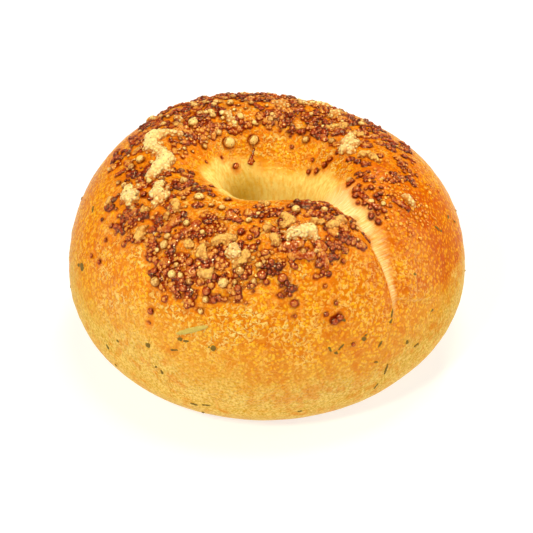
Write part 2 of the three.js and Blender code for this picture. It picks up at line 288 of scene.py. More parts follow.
class BagelColours(bpy.types.PropertyGroup):
    beige: colour("Beige", "Crust low on the flank", "#D2A034")
    beige_light: colour("Light beige", "Its paler specks", "#F6D276")
    golden: colour("Golden", "Crust of the flank", "#F6AA10")
    browned: colour("Browned", "Crust of the crown", "#E27A04")
    # Cream also paints a thin line on the seam's lip, a painted highlight.
    cream: colour("Cream", "Dough stretched thin in the seam", "#FFE6B4")
    # Blister tops: partly a paler bake, partly a painted highlight.
    blister_top_highlight: colour("Blister top", "Tops of the blisters", "#FFBE22")
    # The ridge colour is a painted highlight standing in for glints along the wet ridges.
    ridge: colour("Ridge", "Ridges where the skin lifted and dried pale", "#FFE090")
    wall_dark: colour("Wall streak", "Darker streaks in the wall of the hole", "#F6C25C")
    wall_light: colour("Wall", "Wall of the hole", "#FFE996")
    # Darker olive far down the hole: painted shade.
    wall_deep_shade: colour("Deep wall", "Wall of the hole far down", "#B8921E")
    torn: colour("Torn dough", "Gaps between the threads of torn dough", "#FAC876")
    pore: colour("Pore", "Tiny pores of the crust", "#B06A2A")
    stain: colour("Stain", "Crust that soaked up fat near the cheese", "#EC800C")
    # Dark ring beside the beads: partly burnt crust, partly painted shadow.
    toast_and_shadow: colour("Toast", "Crust burnt by fat right beside the beads", "#8C2000")
    # Curd body pale on top, partly a painted highlight; its edge colour is partly browning, partly painted
    # shade in the gaps and at the foot.
    pale: colour("Pale cheese", "Melted curds", "#FDE4A6")
    pale_edge: colour("Pale edge", "Gaps and foot of a melted curd", "#C87424")
    # Tan curds: the same painted highlight on top and painted shade in the gaps and at the foot.
    tan: colour("Tan cheese", "Curds that browned a little", "#F4BE6C")
    tan_edge: colour("Tan edge", "Gaps and foot of a browned curd", "#A8581A")
    curd_pit: colour("Curd pit", "Browned pits of the curds", "#A85A1C")
    # Bead colours run from foot to top: partly toasting, partly painted shade at the foot and painted
    # highlight on top.
    bead_dark: colour("Dark bead", "The most toasted cheese", "#540A00")
    bead_red: colour("Red bead", "Well toasted cheese", "#A83000")
    bead_amber: colour("Amber bead", "The least toasted cheese", "#DA8C34")
    # Pale bead colours, foot to top: partly toasting, partly painted shade and painted highlight.
    pale_bead_foot: colour("Pale bead's foot", "Foot and pores of a pale bead", "#742E0C")
    pale_bead_side: colour("Pale bead's side", "Side of a pale bead", "#C07E34")
    pale_bead_top: colour("Pale bead's top", "Top of a pale bead", "#F0CC84")
    # Fried bubble colours, foot to top: partly frying, partly painted shade and painted highlight.
    fried_foot: colour("Fried foot", "Foot of a bubble of crust fried in fat", "#A83E06")
    fried_side: colour("Fried side", "Side of a bubble of crust fried in fat", "#D8740E")
    fried_top: colour("Fried top", "Top of a bubble of crust fried in fat", "#F4AC3C")
    herb: colour("Herb", "Dried herb", "#64481A")
    herb_fibre: colour("Herb fibre", "Paler fibres of the dried herb", "#8A7030")
    stalk: colour("Stalk", "Pale herb stalk", "#B09448")
    stalk_fibre: colour("Stalk fibre", "Paler fibres of the stalk", "#DCC46A")


class BagelView(bpy.types.PropertyGroup):
    lens: FloatProperty(name="Lens", description="Focal length of the camera in millimetres", default=LENS)
    key: FloatProperty(name="Key light", description="Watts of the soft light at the front", default=3.1)
    warmth: FloatVectorProperty(name="Warmth", description="Colour of the lights", subtype="COLOR",
                                default=(1.0, 0.95, 0.66))
    tent: FloatProperty(name="Tent", description="Brightness of the white surroundings", default=0.18)
    tent_colour: FloatVectorProperty(name="Tent colour", description="Colour of the surroundings",
                                     subtype="COLOR", default=(1.0, 0.95, 0.8))


# ==== the shape of the crust ==============================================================


def ease(t):
    """A smooth step from 0 to 1."""
    t = np.clip(t, 0, 1)
    return t * t * (3 - 2 * t)


def wave(around, turns, phase):
    return np.cos(np.radians(turns * around - phase))


def turn_between(around, start):
    """Degrees from start, from -180 to 180."""
    return (around - start + 180) % 360 - 180


def near(around, start, spread):
    """1 at start, falling to nothing within about twice the spread, in degrees."""
    return np.exp(-((turn_between(around, start) / spread) ** 2))


def reaches(around, up):
    """How far the rope reaches out, in and up at two angles."""
    fold = near(around, FOLD_AT, FOLD_SPREAD) * np.maximum(0, np.sin(np.radians(up)))
    out = OUTER_REACH + 0.8 * wave(around, 1, 210) + 0.45 * wave(around, 2, 0) + 0.7 * wave(around, 3, 60)
    inner = INNER_REACH + 0.4 * wave(around, 1, 150) + 0.75 * wave(around, 2, 67) + FOLD_IN * fold
    rise = CROWN_RISE + 0.45 * wave(around, 1, 230) + 1.6 * wave(around, 2, 248) + FOLD_UP * fold
    return out, inner, rise


def seam_angle(up):
    """The seam's angle round the ring at this angle up the section."""
    outside = ease((30 - up) / 35) * ease((up + 90) / 60)
    inside = ease((up - 102) / 38) * ease((270 - up) / 60)
    return SEAM_AT_CROWN + SEAM_SWING_OUTSIDE * outside + SEAM_SWING_INSIDE * inside


def past_seam(around, up):
    """Millimetres round the ring from the seam, positive on the side of the valley."""
    out, inner, _ = reaches(around, up)
    cosine = np.cos(np.radians(up))
    radius = RING_RADIUS + np.where(cosine >= 0, out, inner) * cosine
    return np.radians(turn_between(around, seam_angle(up))) * radius


def seam_sink(distance, up):
    """How far the seam sinks the crust: a steep lip on one side, a slow slope on the other."""
    depth = SEAM_DEPTH * ease((up + 5) / 115) * (1 - ease((up - 120) / 110))
    lip = LIP_WIDTH + LIP_WIDTH_GAIN * ease((up - 30) / 120)
    valley = VALLEY_WIDTH + VALLEY_WIDTH_GAIN * ease((up + 5) / 110)
    before = np.exp(-((np.maximum(-distance, 0) / lip) ** 1.2))
    after = np.exp(-((np.maximum(distance, 0) / valley) ** 1.6))
    return depth * np.where(distance < 0, before, after)


def end_fold_line(distance):
    """How far up the section, in degrees, the fold at the rope's end runs at this distance past the seam."""
    return 26.5 - 0.9 * distance + 0.015 * distance**2


def end_fold_sink(distance, up):
    """The short step where the end of the rope was pressed down beside the seam, low on the flank."""
    below = (end_fold_line(distance) - up) * 0.55
    along = ease(distance / 1.2) * (1 - ease((distance - 12) / 7))
    return 0.6 * along * ease((below + 0.3) / 0.6) * np.exp(-np.maximum(below, 0) / 5)


def crust(around, up):
    """Points of the crust, in metres, and the directions out of it."""
    around, up = np.broadcast_arrays(np.asarray(around, float), np.asarray(up, float))
    out, inner, rise = reaches(around, up)
    cosine, sine = np.cos(np.radians(up)), np.sin(np.radians(up))
    half = np.where(cosine >= 0, out, inner)
    lift = np.where(sine >= 0, rise, BELLY_DROP)
    radius = RING_RADIUS + half * cosine
    slope = np.stack([cosine / half, sine / lift], -1)
    slope /= np.linalg.norm(slope, axis=-1, keepdims=True)
    turn = np.radians(around)
    normals = np.stack([slope[..., 0] * np.cos(turn), slope[..., 0] * np.sin(turn), slope[..., 1]], -1)
    points = np.stack([radius * np.cos(turn), radius * np.sin(turn), EQUATOR_HEIGHT + lift * sine], -1)
    distance = past_seam(around, up)
    sink = seam_sink(distance, up) + end_fold_sink(distance, up)
    points = points - sink[..., None] * normals
    height = points[..., 2]
    rounded = (height + HEEL_ROUNDING) ** 2 / (4 * HEEL_ROUNDING)
    rounded = np.where(height < -HEEL_ROUNDING, 0, rounded)
    points[..., 2] = np.where(height > HEEL_ROUNDING, height, rounded)
    points[..., 0] += HOLE[0]
    points[..., 1] += HOLE[1]
    return points * MM, normals


def angles(points):
    """The angles round the ring and up the section of points on or near the crust."""
    x, y, z = points[:, 0] / MM - HOLE[0], points[:, 1] / MM - HOLE[1], points[:, 2] / MM
    around = np.degrees(np.arctan2(y, x))
    out, inner, rise = reaches(around, 90)
    across, above = np.hypot(x, y) - RING_RADIUS, z - EQUATOR_HEIGHT
    across = across / np.where(across >= 0, out, inner)
    above = above / np.where(above >= 0, rise, BELLY_DROP)
    return around, (np.degrees(np.arctan2(above, across)) + 90) % 360 - 90


def mottle(points, cell, seed=0.0):
    """Soft noise from about -1 to 1 with cells of this many millimetres."""
    scale = 1 / (cell * MM)
    shift = Vector((seed, seed * 1.7, -seed))
    return np.array([noise.noise(Vector(p) * scale + shift) for p in points])


# ==== meshes ==============================================================================


def deselect_all():
    for chosen in list(bpy.context.selected_objects):
        chosen.select_set(False)


def apply_modifiers(piece):
    deselect_all()
    bpy.context.view_layer.objects.active = piece
    piece.select_set(True)
    for modifier in list(piece.modifiers):
        bpy.ops.object.modifier_apply(modifier=modifier.name)


def add_displacement(piece, pattern, cell, height, midlevel, group=""):
    """A Displace modifier whose pattern has cells of this width, in metres."""
    texture = bpy.data.textures.new(piece.name + "_" + pattern.lower(), pattern)
    texture.noise_scale = cell
    modifier = piece.modifiers.new(texture.name, "DISPLACE")
    modifier.texture = texture
    modifier.texture_coords = "LOCAL"
    modifier.strength = height
    modifier.mid_level = midlevel
    modifier.vertex_group = group
    return texture


def write_attribute(piece, name, values):
    """Stores one number a vertex for the materials to read."""
    attribute = piece.data.attributes.new(name, "FLOAT", "POINT")
    attribute.data.foreach_set("value", np.asarray(values, dtype=np.float32))


def vertex_places(piece):
    places = np.empty(len(piece.data.vertices) * 3)
    piece.data.vertices.foreach_get("co", places)
    return places.reshape(-1, 3)


def ball_template(subdivisions):
    """The vertices and triangles of a ball of radius 1."""
    deselect_all()
    bpy.ops.mesh.primitive_ico_sphere_add(subdivisions=subdivisions, radius=1)
    ball = bpy.context.object
    vertices = vertex_places(ball)
    triangles = np.array([list(face.vertices) for face in ball.data.polygons])
    mesh = ball.data
    bpy.data.objects.remove(ball)
    bpy.data.meshes.remove(mesh)
    return vertices, triangles


def joined_copies(name, template, points, bases, radii):
    """One mesh of many copies of a template, each at its point, along its base, with three radii."""
    vertices, triangles = template
    shaped = vertices[None] * radii[:, None, :]
    placed = points[:, None, :] + np.einsum("nij,nvj->nvi", bases, shaped)
    faces = triangles[None] + (np.arange(len(points)) * len(vertices))[:, None, None]
    mesh = bpy.data.meshes.new(name)
    mesh.from_pydata(placed.reshape(-1, 3), [], faces.reshape(-1, 3))
    mesh.update()
    piece = bpy.data.objects.new(name, mesh)
    bpy.context.collection.objects.link(piece)
    return piece


def seen_bases(normals, turns):
    """Like bases_on, but the first direction is seen turned by so many degrees in the camera's picture."""
    _, forward, upward = (np.array(axis) for axis in view_axes())
    turns = np.radians(turns)[:, None]
    drawn = np.cos(turns) * [1, 0, 0] + np.sin(turns) * upward
    first = drawn - forward * ((drawn * normals).sum(1) / (forward * normals).sum(1))[:, None]
    first /= np.linalg.norm(first, axis=1, keepdims=True)
    return np.stack([first, np.cross(normals, first), normals], -1)


def bases_on(normals, turns):
    """For each normal, a base whose third direction is the normal, turned about it by so many degrees."""
    sideways = np.cross([0, 0, 1.0], normals)
    sideways /= np.maximum(np.linalg.norm(sideways, axis=1, keepdims=True), 1e-6)
    upwards = np.cross(normals, sideways)
    turns = np.radians(turns)[:, None]
    first = np.cos(turns) * sideways + np.sin(turns) * upwards
    return np.stack([first, np.cross(normals, first), normals], -1)


def nearest_tree(points):
    """A tree that finds the nearest of these points."""
    tree = KDTree(len(points))
    for k, point in enumerate(points):
        tree.insert(point, k)
    tree.balance()
    return tree


def crust_tree():
    return BVHTree.FromObject(bpy.data.objects["crust"], bpy.context.evaluated_depsgraph_get())


def settled(points):
    """The nearest places on the finished crust, and the directions out of it there."""
    tree = crust_tree()
    nearest = [tree.find_nearest(Vector(p)) for p in points]
    return np.array([hit[0] for hit in nearest]), np.array([hit[1] for hit in nearest])


def above_crust(places):
    """How far places stand above the finished crust, in millimetres."""
    tree = crust_tree()
    heights = []
    for place in places:
        ground, out, _, _ = tree.find_nearest(Vector(place))
        heights.append((Vector(place) - ground).dot(out) / MM)
    return np.array(heights)


def view_axes():
    """Where the camera stands, where it looks and which way is up in its picture."""
    slope = np.radians(VIEW_DOWN)
    forward = Vector((0, np.cos(slope), -np.sin(slope)))
    upward = Vector((0, np.sin(slope), np.cos(slope)))
    middle = Vector((HOLE[0] + VIEW_SHIFT[0], HOLE[1], EQUATOR_HEIGHT)) + upward * VIEW_SHIFT[1]
    return (middle - forward * VIEW_DISTANCE) * MM, forward, upward


def seen_at(places):
    """The places of the finished crust that the camera sees at these pixels, and the directions out of it."""
    eye, forward, upward = view_axes()
    tree = crust_tree()
    hits = []
    for right, down in places:
        aim = forward * (LENS / SENSOR * PICTURE) + Vector((right - PICTURE / 2, 0, 0))
        aim = (aim + upward * (PICTURE / 2 - down)).normalized()
        hit = tree.ray_cast(eye, aim)
        if hit[0] is None:
            hit = tree.find_nearest(eye + aim * VIEW_DISTANCE * MM)
        hits.append(hit)
    return np.array([hit[0] for hit in hits]), np.array([hit[1] for hit in hits])


def finish_piece(piece, material):
    piece.data.materials.clear()
    piece.data.materials.append(material)
    deselect_all()
    bpy.context.view_layer.objects.active = piece
    piece.select_set(True)
    bpy.ops.object.shade_smooth()
    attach(piece, "root")


# ==== where things lie ====================================================================


def pale_width(up):
    """Width in millimetres of the pale band beside the seam."""
    return 1.5 + 4.2 * ease((up - 26) / 32) + 6 * ease((up - 55) / 40)


def cream_band(distance, up):
    """How far the dough tore thin and stayed cream, in the seam and along the fold at the rope's end; the
    thin cream line on the crease's lip is a painted highlight.
    """
    width = pale_width(up)
    # The thin cream line on the lip side of the crease is a painted highlight.
    before = 1 - ease((-distance - 0.1) / 0.9)
    after = 0.75 * (1 - ease((distance - 0.25 * width) / (0.95 * width))) + 0.25 * (1 - ease(distance / 1.5))
    after *= 0.62 + 0.38 * ease((up - 40) / 40)
    cream = np.where(distance < 0, before, after) * ease((up - 10) / 22) * (1 - ease((up - 135) / 20))
    from_fold = (up - end_fold_line(distance)) * SECTION_MM_A_DEGREE
    fold_line = np.exp(-((from_fold / 0.3) ** 2)) * ease(distance / 1.2) * (1 - ease((distance - 12) / 6))
    return np.maximum(cream, 0.4 * fold_line)


def browning(around, up, distance, broad, patch):
    """How golden and how brown the crust baked, and how much of it is the lobe that baked most."""
    beside = np.maximum(wave(around, 2, 0), 0)
    golden = ease((up + 10 - 9 * beside + 9 * broad + 3 * patch) / 32) + 0.35 * ease((up - 20) / 25)
    golden -= 0.45 * near(around, -125, 20) * (1 - ease((up - 18) / 25))
    above_fold = ease((up - np.where(distance < 22, end_fold_line(distance), 14)) / 6)
    lobe = near(around, -18, 33) * np.where(distance > 0, above_fold, 1)
    lobe *= ease((up - 8) / 14) * (1 - ease((up - 84) / 24))
    golden = np.maximum(golden, 1.3 * lobe) * (1 - ease((up - 190) / 50))
    crown = ease((up - 22 + 12 * broad) / 45)
    front = near(around, -82, 24) * ease((up - 8) / 20)
    bake = (0.4 * crown + 0.72 * lobe + 0.2 * front) * (1 - ease((up - 112 + 5 * patch) / 16))
    bake -= 0.45 * near(around, 8, 18) * (1 - ease((up - 50) / 30))
    return golden, bake, lobe


def seam_clear(around, up):
    """0 in the pale band of the seam, 1 away from it."""
    distance = past_seam(around, up)
    return np.where(distance < 0, ease(-distance / 0.8), ease((distance - pale_width(up)) / 1.5))


def cheese_cover(around, up):
    """How thickly grated cheese fell here, from 0 to 1, before it broke into patches."""
    low = 58 + 9 * wave(around, 1, 80) - 12 * near(around, -118, 22)
    high = 101 + 12 * wave(around, 1, 100)
    band = ease((up - low + 6) / 14) * (1 - ease((up - high + 4) / 12))
    lobe = 1 - 0.8 * near(around, -10, 32)
    return band * lobe * seam_clear(around, up)


def scatter(count, radii, seed, cover, gap):
    """Angles and radii of beads thrown one by one where cover allows, clear of those already there."""
    random = np.random.default_rng(seed)
    chosen, places = [], np.zeros((0, 3))
    sizes = np.zeros(0)
    while len(chosen) < count:
        around = random.uniform(-180, 180, THROWS)
        up = random.uniform(THROWN_FROM, THROWN_TO, THROWS)
        points, _ = crust(around, up)
        spread = np.hypot(points[:, 0], points[:, 1]) / ((RING_RADIUS + OUTER_REACH) * MM)
        wanted = cover(around, up, points) * spread
        chance = random.uniform(0, 1, THROWS)
        size = radii[0] + (radii[1] - radii[0]) * random.uniform(0, 1, THROWS) ** FEW_LARGE
        for k in np.nonzero(chance < wanted)[0]:
            room = gap * (sizes + size[k]) * MM
            if len(places) and (((places - points[k]) ** 2).sum(1) < room**2).any():
                continue
            chosen.append((around[k], up[k], size[k]))
            places = np.vstack([places, points[k]])
            sizes = np.append(sizes, size[k])
            if len(chosen) == count:
                break
    return np.array(chosen)


def patchy(points, cell, threshold, seed):
    """Breaks a cover into patches about as wide as cell, in millimetres."""
    return ease((mottle(points, cell, seed) - threshold) / 0.25)


# ==== materials ===========================================================================

FIRST, SECOND = 6, 7  # the colour inputs of a Mix node
COLOUR = {"data_type": "RGBA"}
TINTING = {"data_type": "RGBA", "blend_type": "MULTIPLY"}
SOFT_STEP = {"interpolation_type": "SMOOTHSTEP"}
TIMES, TIMES_PLUS = {"operation": "MULTIPLY"}, {"operation": "MULTIPLY_ADD"}
PLUS_CLAMPED = {"operation": "ADD", "use_clamp": True}
TIMES_PLUS_CLAMPED = {"operation": "MULTIPLY_ADD", "use_clamp": True}


def new_material(name):
    material = bpy.data.materials.new(name)
    material.use_nodes = True
    material.node_tree.nodes.clear()
    return material, material.node_tree


def add(tree, kind, settings=None, inputs=None):
    """Adds a node. An input takes a value, an output, or a node, whose first output in use is linked."""
    node = tree.nodes.new("ShaderNode" + kind)
    for name, value in (settings or {}).items():
        setattr(node, name, value)
    for name, value in (inputs or {}).items():
        if isinstance(value, bpy.types.Node):
            value = next(output for output in value.outputs if output.enabled)
        if isinstance(value, bpy.types.NodeSocket):
            tree.links.new(value, node.inputs[name])
        elif node.inputs[name].type == "RGBA":
            node.inputs[name].default_value = (*value, 1)
        else:
            node.inputs[name].default_value = value
    return node


def shine(tree, facing, turned_away):
    """A specular level that fades where the rough skin turns away, so that its edges stay clear of haze."""
    turn = add(tree, "LayerWeight", {}, {"Blend": 0.5})
    return add(tree, "MapRange", SOFT_STEP,
               {"Value": turn.outputs["Facing"], "From Min": 0.1, "From Max": 0.58, "To Min": facing,
                "To Max": turned_away})


def crust_relief(tree, place, read, sizes):
    """Low domes, pushed out of shape, and over them ridges that wander in short arcs."""
    drift = add(tree, "TexNoise", {}, {"Vector": place, "Scale": 1 / (1.3 * MM), "Detail": 2.0})
    bent = add(tree, "Mix", {"data_type": "VECTOR"}, {0: 0.9 * MM, 4: place, 5: drift.outputs["Color"]})
    cells = add(tree, "TexVoronoi", {"feature": "SMOOTH_F1"},
                {"Vector": bent, "Scale": 1 / sizes.blister, "Smoothness": 0.3})
    dome = add(tree, "MapRange", SOFT_STEP, {"Value": cells, "From Min": 0.62, "From Max": 0.14})
    tops = add(tree, "Math", TIMES, {0: dome, 1: read["blistered"]})
    wander = add(tree, "TexNoise", {}, {"Vector": place, "Scale": 1 / sizes.ridge, "Detail": 1.0,
                                        "Roughness": 0.5, "Distortion": 0.6})
    off = add(tree, "Math", {"operation": "SUBTRACT"}, {0: wander, 1: 0.5})
    off = add(tree, "Math", {"operation": "ABSOLUTE"}, {0: off})
    line = add(tree, "MapRange", SOFT_STEP, {"Value": off, "From Min": 0.12, "From Max": 0.01})
    arcs = add(tree, "MapRange", SOFT_STEP, {"Value": drift, "From Min": 0.42, "From Max": 0.56})
    ridge = add(tree, "Math", TIMES, {0: line, 1: arcs})
    ridge = add(tree, "Math", TIMES, {0: ridge, 1: read["ridged"]})
    domed = add(tree, "Math", TIMES_PLUS_CLAMPED, {0: tops, 1: 0.6, 2: ridge})
    return tops, wander, ridge, domed


def baked_flank(tree, read, colours, fine, patch, broad):
    """Beige low on the flank, golden higher up and browned on top, in uneven patches."""
    spread = add(tree, "MapRange", {},
                 {"Value": patch, "From Min": 0.3, "From Max": 0.7, "To Min": -0.2, "To Max": 0.2})
    golden = add(tree, "Math", PLUS_CLAMPED, {0: read["golden"], 1: spread})
    speckle = add(tree, "MapRange", SOFT_STEP, {"Value": fine, "From Min": 0.34, "From Max": 0.66})
    low = add(tree, "Mix", COLOUR, {0: speckle, FIRST: colours.beige, SECOND: colours.beige_light})
    tone = add(tree, "Mix", COLOUR, {0: golden, FIRST: low, SECOND: colours.golden})
    uneven = add(tree, "Math", TIMES, {0: broad, 1: patch})
    uneven = add(tree, "MapRange", {},
                 {"Value": uneven, "From Min": 0.14, "From Max": 0.38, "To Min": -0.35, "To Max": 0.35})
    bake = add(tree, "Math", PLUS_CLAMPED, {0: read["bake"], 1: uneven})
    return add(tree, "Mix", COLOUR, {0: bake, FIRST: tone, SECOND: colours.browned})


def hole_wall(tree, read, colours, streaks):
    """The wall of the hole, which stayed pale, with streaks down it and a darker olive far down it, painted
    shade.
    """
    streaky = add(tree, "MapRange", {}, {"Value": streaks, "From Min": 0.32, "From Max": 0.62})
    inside = add(tree, "Mix", COLOUR, {0: streaky, FIRST: colours.wall_dark, SECOND: colours.wall_light})
    # Painted shade far down the hole.
    deep_shade = add(tree, "Math", TIMES, {0: read["deep_shade"], 1: 0.85})
    return add(tree, "Mix", COLOUR, {0: deep_shade, FIRST: inside, SECOND: colours.wall_deep_shade})


def torn_dough(tree, read, colours):
    """Cream dough torn thin beside the seam, the threads across it and how far they reach."""
    thread_place = add(tree, "CombineXYZ", {}, {"X": read["across"], "Y": read["along"]})
    threads = add(tree, "TexNoise", {},
                  {"Vector": thread_place, "Scale": 1.0, "Detail": 2.0, "Distortion": 0.3})
    thready = add(tree, "MapRange", {}, {"Value": threads, "From Min": 0.36, "From Max": 0.6})
    torn = add(tree, "Mix", COLOUR, {0: thready, FIRST: colours.torn, SECOND: colours.cream})
    reach = add(tree, "Math", TIMES_PLUS, {0: threads, 1: 0.5, 2: -0.25})
    reach = add(tree, "Math", {"operation": "ADD"}, {0: reach, 1: read["cream"]})
    reach = add(tree, "MapRange", SOFT_STEP, {"Value": reach, "From Min": 0.05, "From Max": 0.95})
    return torn, threads, reach


def crust_material(colours, sizes):
    """Boiled and baked wheat dough: a thin, glossy, blistered skin over a soft crumb.

    The gelatinised skin gives small bright glints. The blisters' tops are painted paler and their gaps
    darker, partly baked tone and partly painted highlight and painted shade, and the pale ridges are painted
    highlights.
    """
    material, tree = new_material("baked_wheat_crust")
    place = add(tree, "TexCoord").outputs["Object"]
    read = {name: add(tree, "Attribute", {"attribute_name": name}).outputs["Fac"] for name in CRUST_MARKS}
    fine = add(tree, "TexNoise", {},
               {"Vector": place, "Scale": 1 / (0.6 * MM), "Detail": 3.0, "Roughness": 0.6})
    patch = add(tree, "TexNoise", {}, {"Vector": place, "Scale": 1 / (2.6 * MM), "Detail": 3.0})
    broad = add(tree, "TexNoise", {}, {"Vector": place, "Scale": 1 / (9 * MM), "Detail": 3.0})
    stretch = add(tree, "Mapping", {}, {"Vector": place, "Scale": (1, 1, 0.12)})
    streaks = add(tree, "TexNoise", {}, {"Vector": stretch, "Scale": 1 / (0.8 * MM), "Detail": 3.0})
    tops, wander, ridge, domed = crust_relief(tree, place, read, sizes)
    tone = baked_flank(tree, read, colours, fine, patch, broad)

    # Blister tops are painted paler and the gaps between them darker: partly baked tone, partly painted
    # highlight and painted shade of the relief; the ridges carry a painted highlight.
    deeper = add(tree, "MapRange", {}, {"Value": read["golden"], "To Min": 0.15, "To Max": 0.85})
    hollow_shade = add(tree, "Math", TIMES_PLUS_CLAMPED, {0: domed, 1: -2.2, 2: 1.0})
    hollow_shade = add(tree, "Math", TIMES, {0: hollow_shade, 1: deeper})
    hollow_shade = add(tree, "Math", TIMES, {0: hollow_shade, 1: read["blistered"]})
    light = add(tree, "MapRange", {}, {"Value": fine, "From Min": 0.38, "From Max": 0.62, "To Max": 0.7})
    light = add(tree, "Math", TIMES, {0: tops, 1: light})
    light = add(tree, "Math", TIMES, {0: light, 1: deeper})
    # Pale ridges: a painted highlight in place of glints.
    ridge_highlight = add(tree, "Math", TIMES, {0: ridge, 1: 0.95})
    tone = add(tree, "Mix", COLOUR, {0: light, FIRST: tone, SECOND: colours.blister_top_highlight})
    tone = add(tree, "Mix", TINTING, {0: hollow_shade, FIRST: tone, SECOND: HOLLOW_SHADE_TINT})
    tone = add(tree, "Mix", COLOUR, {0: ridge_highlight, FIRST: tone, SECOND: colours.ridge})
    # The skin is darker in fine spots where it thickened.
    spotted = add(tree, "MapRange", {}, {"Value": patch, "From Min": 0.42, "From Max": 0.66, "To Max": 0.55})
    tone = add(tree, "Mix", TINTING, {0: spotted, FIRST: tone, SECOND: SPOT_TINT})
    inside = hole_wall(tree, read, colours, streaks)
    tone = add(tree, "Mix", COLOUR, {0: read["wall"], FIRST: tone, SECOND: inside})
    torn, threads, reach = torn_dough(tree, read, colours)
    tone = add(tree, "Mix", COLOUR, {0: reach, FIRST: tone, SECOND: torn})
    # Fat from the cheese soaks into the crust; right beside the beads a tight dark ring is partly burnt crust
    # and partly painted shadow of the beads.
    for name, shade, low, high in (("stain", colours.stain, 0.2, 0.62), ("burn_and_shadow", colours.toast_and_shadow, 0.14, 0.5)):
        soaked = add(tree, "Math", TIMES, {0: read[name], 1: patch})
        soaked = add(tree, "MapRange", {}, {"Value": soaked, "From Min": low, "From Max": high})
        tone = add(tree, "Mix", COLOUR, {0: soaked, FIRST: tone, SECOND: shade})
    # Tiny dark pores.
    pores = add(tree, "TexVoronoi", {}, {"Vector": place, "Scale": 1 / (1.1 * MM)})
    pore = add(tree, "MapRange", {},
               {"Value": pores, "From Min": 0.05, "From Max": 0.14, "To Min": 0.5, "To Max": 0.0})
    tone = add(tree, "Mix", TINTING, {0: pore, FIRST: tone, SECOND: colours.pore})

    ridges = add(tree, "Bump", {}, {"Strength": 0.8, "Distance": 0.2 * MM, "Height": wander})
    grain = add(tree, "Bump", {}, {"Strength": 0.6, "Distance": 0.08 * MM, "Height": fine, "Normal": ridges})
    bubble = add(tree, "Bump", {}, {"Strength": 1.0, "Distance": 0.3 * MM, "Height": domed, "Normal": grain})
    lines = add(tree, "Math", TIMES, {0: threads, 1: reach})
    drawn = add(tree, "Math", TIMES_PLUS, {0: streaks, 1: read["wall"], 2: lines})
    drawn = add(tree, "Bump", {}, {"Strength": 0.6, "Distance": 0.14 * MM, "Height": drawn, "Normal": bubble})
    gloss = add(tree, "MapRange", {}, {"Value": read["golden"], "To Min": 0.32, "To Max": 0.16})
    skin = add(tree, "BsdfPrincipled", {}, {
        "Base Color": tone,
        "Roughness": gloss,
        "IOR": 1.45,
        "Specular IOR Level": shine(tree, 0.6, 0.007),
        "Specular Tint": WARM_GLOSS,
        "Subsurface Weight": 0.1,
        "Subsurface Radius": (1.0, 0.45, 0.12),
        "Subsurface Scale": 1.2 * MM,
        "Normal": drawn,
    })
    add(tree, "OutputMaterial", {}, {"Surface": skin})
    return material


def curd_material(name, body, edge, colours, roughness=0.3):
    """Melted and set curd cheese: matt, waxy and pitted, with browned pores, and edges and gaps darker,
    partly browning and partly painted shade.

    Light sinks in a little, so the lumps look soft, and fat gives a dull sheen.
    """
    material, tree = new_material(name)
    place = add(tree, "TexCoord").outputs["Object"]
    rise = add(tree, "Attribute", {"attribute_name": "rise"}).outputs["Fac"]
    grain = add(tree, "TexNoise", {}, {"Vector": place, "Scale": 1 / (0.9 * MM), "Detail": 3.0})
    foam = add(tree, "TexVoronoi", {"feature": "SMOOTH_F1"},
               {"Vector": place, "Scale": 1 / (0.85 * MM), "Smoothness": 0.2})
    bubble = add(tree, "MapRange", SOFT_STEP, {"Value": foam, "From Min": 0.66, "From Max": 0.25})
    pits = add(tree, "TexVoronoi", {}, {"Vector": place, "Scale": 1 / (1.3 * MM)})
    pit = add(tree, "MapRange", {},
              {"Value": pits, "From Min": 0.12, "From Max": 0.26, "To Min": 0.7, "To Max": 0.0})
    # The foam is pale on top of the lumps and dark in its gaps and at the foot: partly browning, partly
    # painted highlight on top and painted shade below.
    height = add(tree, "Math", TIMES_PLUS, {0: grain, 1: 0.9, 2: rise})
    height = add(tree, "Math", TIMES_PLUS, {0: bubble, 1: 1.0, 2: height})
    lit_share = add(tree, "MapRange", {}, {"Value": height, "From Min": 0.9, "From Max": 2.0})
    tone = add(tree, "Mix", COLOUR, {0: lit_share, FIRST: edge, SECOND: body})
    tone = add(tree, "Mix", COLOUR, {0: pit, FIRST: tone, SECOND: colours.curd_pit})
    relief = add(tree, "Bump", {}, {"Strength": 0.9, "Distance": 0.28 * MM, "Height": bubble})
    dents = add(tree, "Bump", {"invert": True},
                {"Strength": 0.8, "Distance": 0.15 * MM, "Height": pit, "Normal": relief})
    wax = add(tree, "BsdfPrincipled", {}, {
        "Base Color": tone,
        "Roughness": roughness,
        "IOR": 1.45,
        "Specular IOR Level": shine(tree, 0.6, 0.05),
        "Specular Tint": WARM_GLOSS,
        "Subsurface Weight": 0.35,
        "Subsurface Radius": (1.0, 0.55, 0.2),
        "Subsurface Scale": 0.8 * MM,
        "Normal": dents,
    })
    add(tree, "OutputMaterial", {}, {"Surface": wax})
    return material


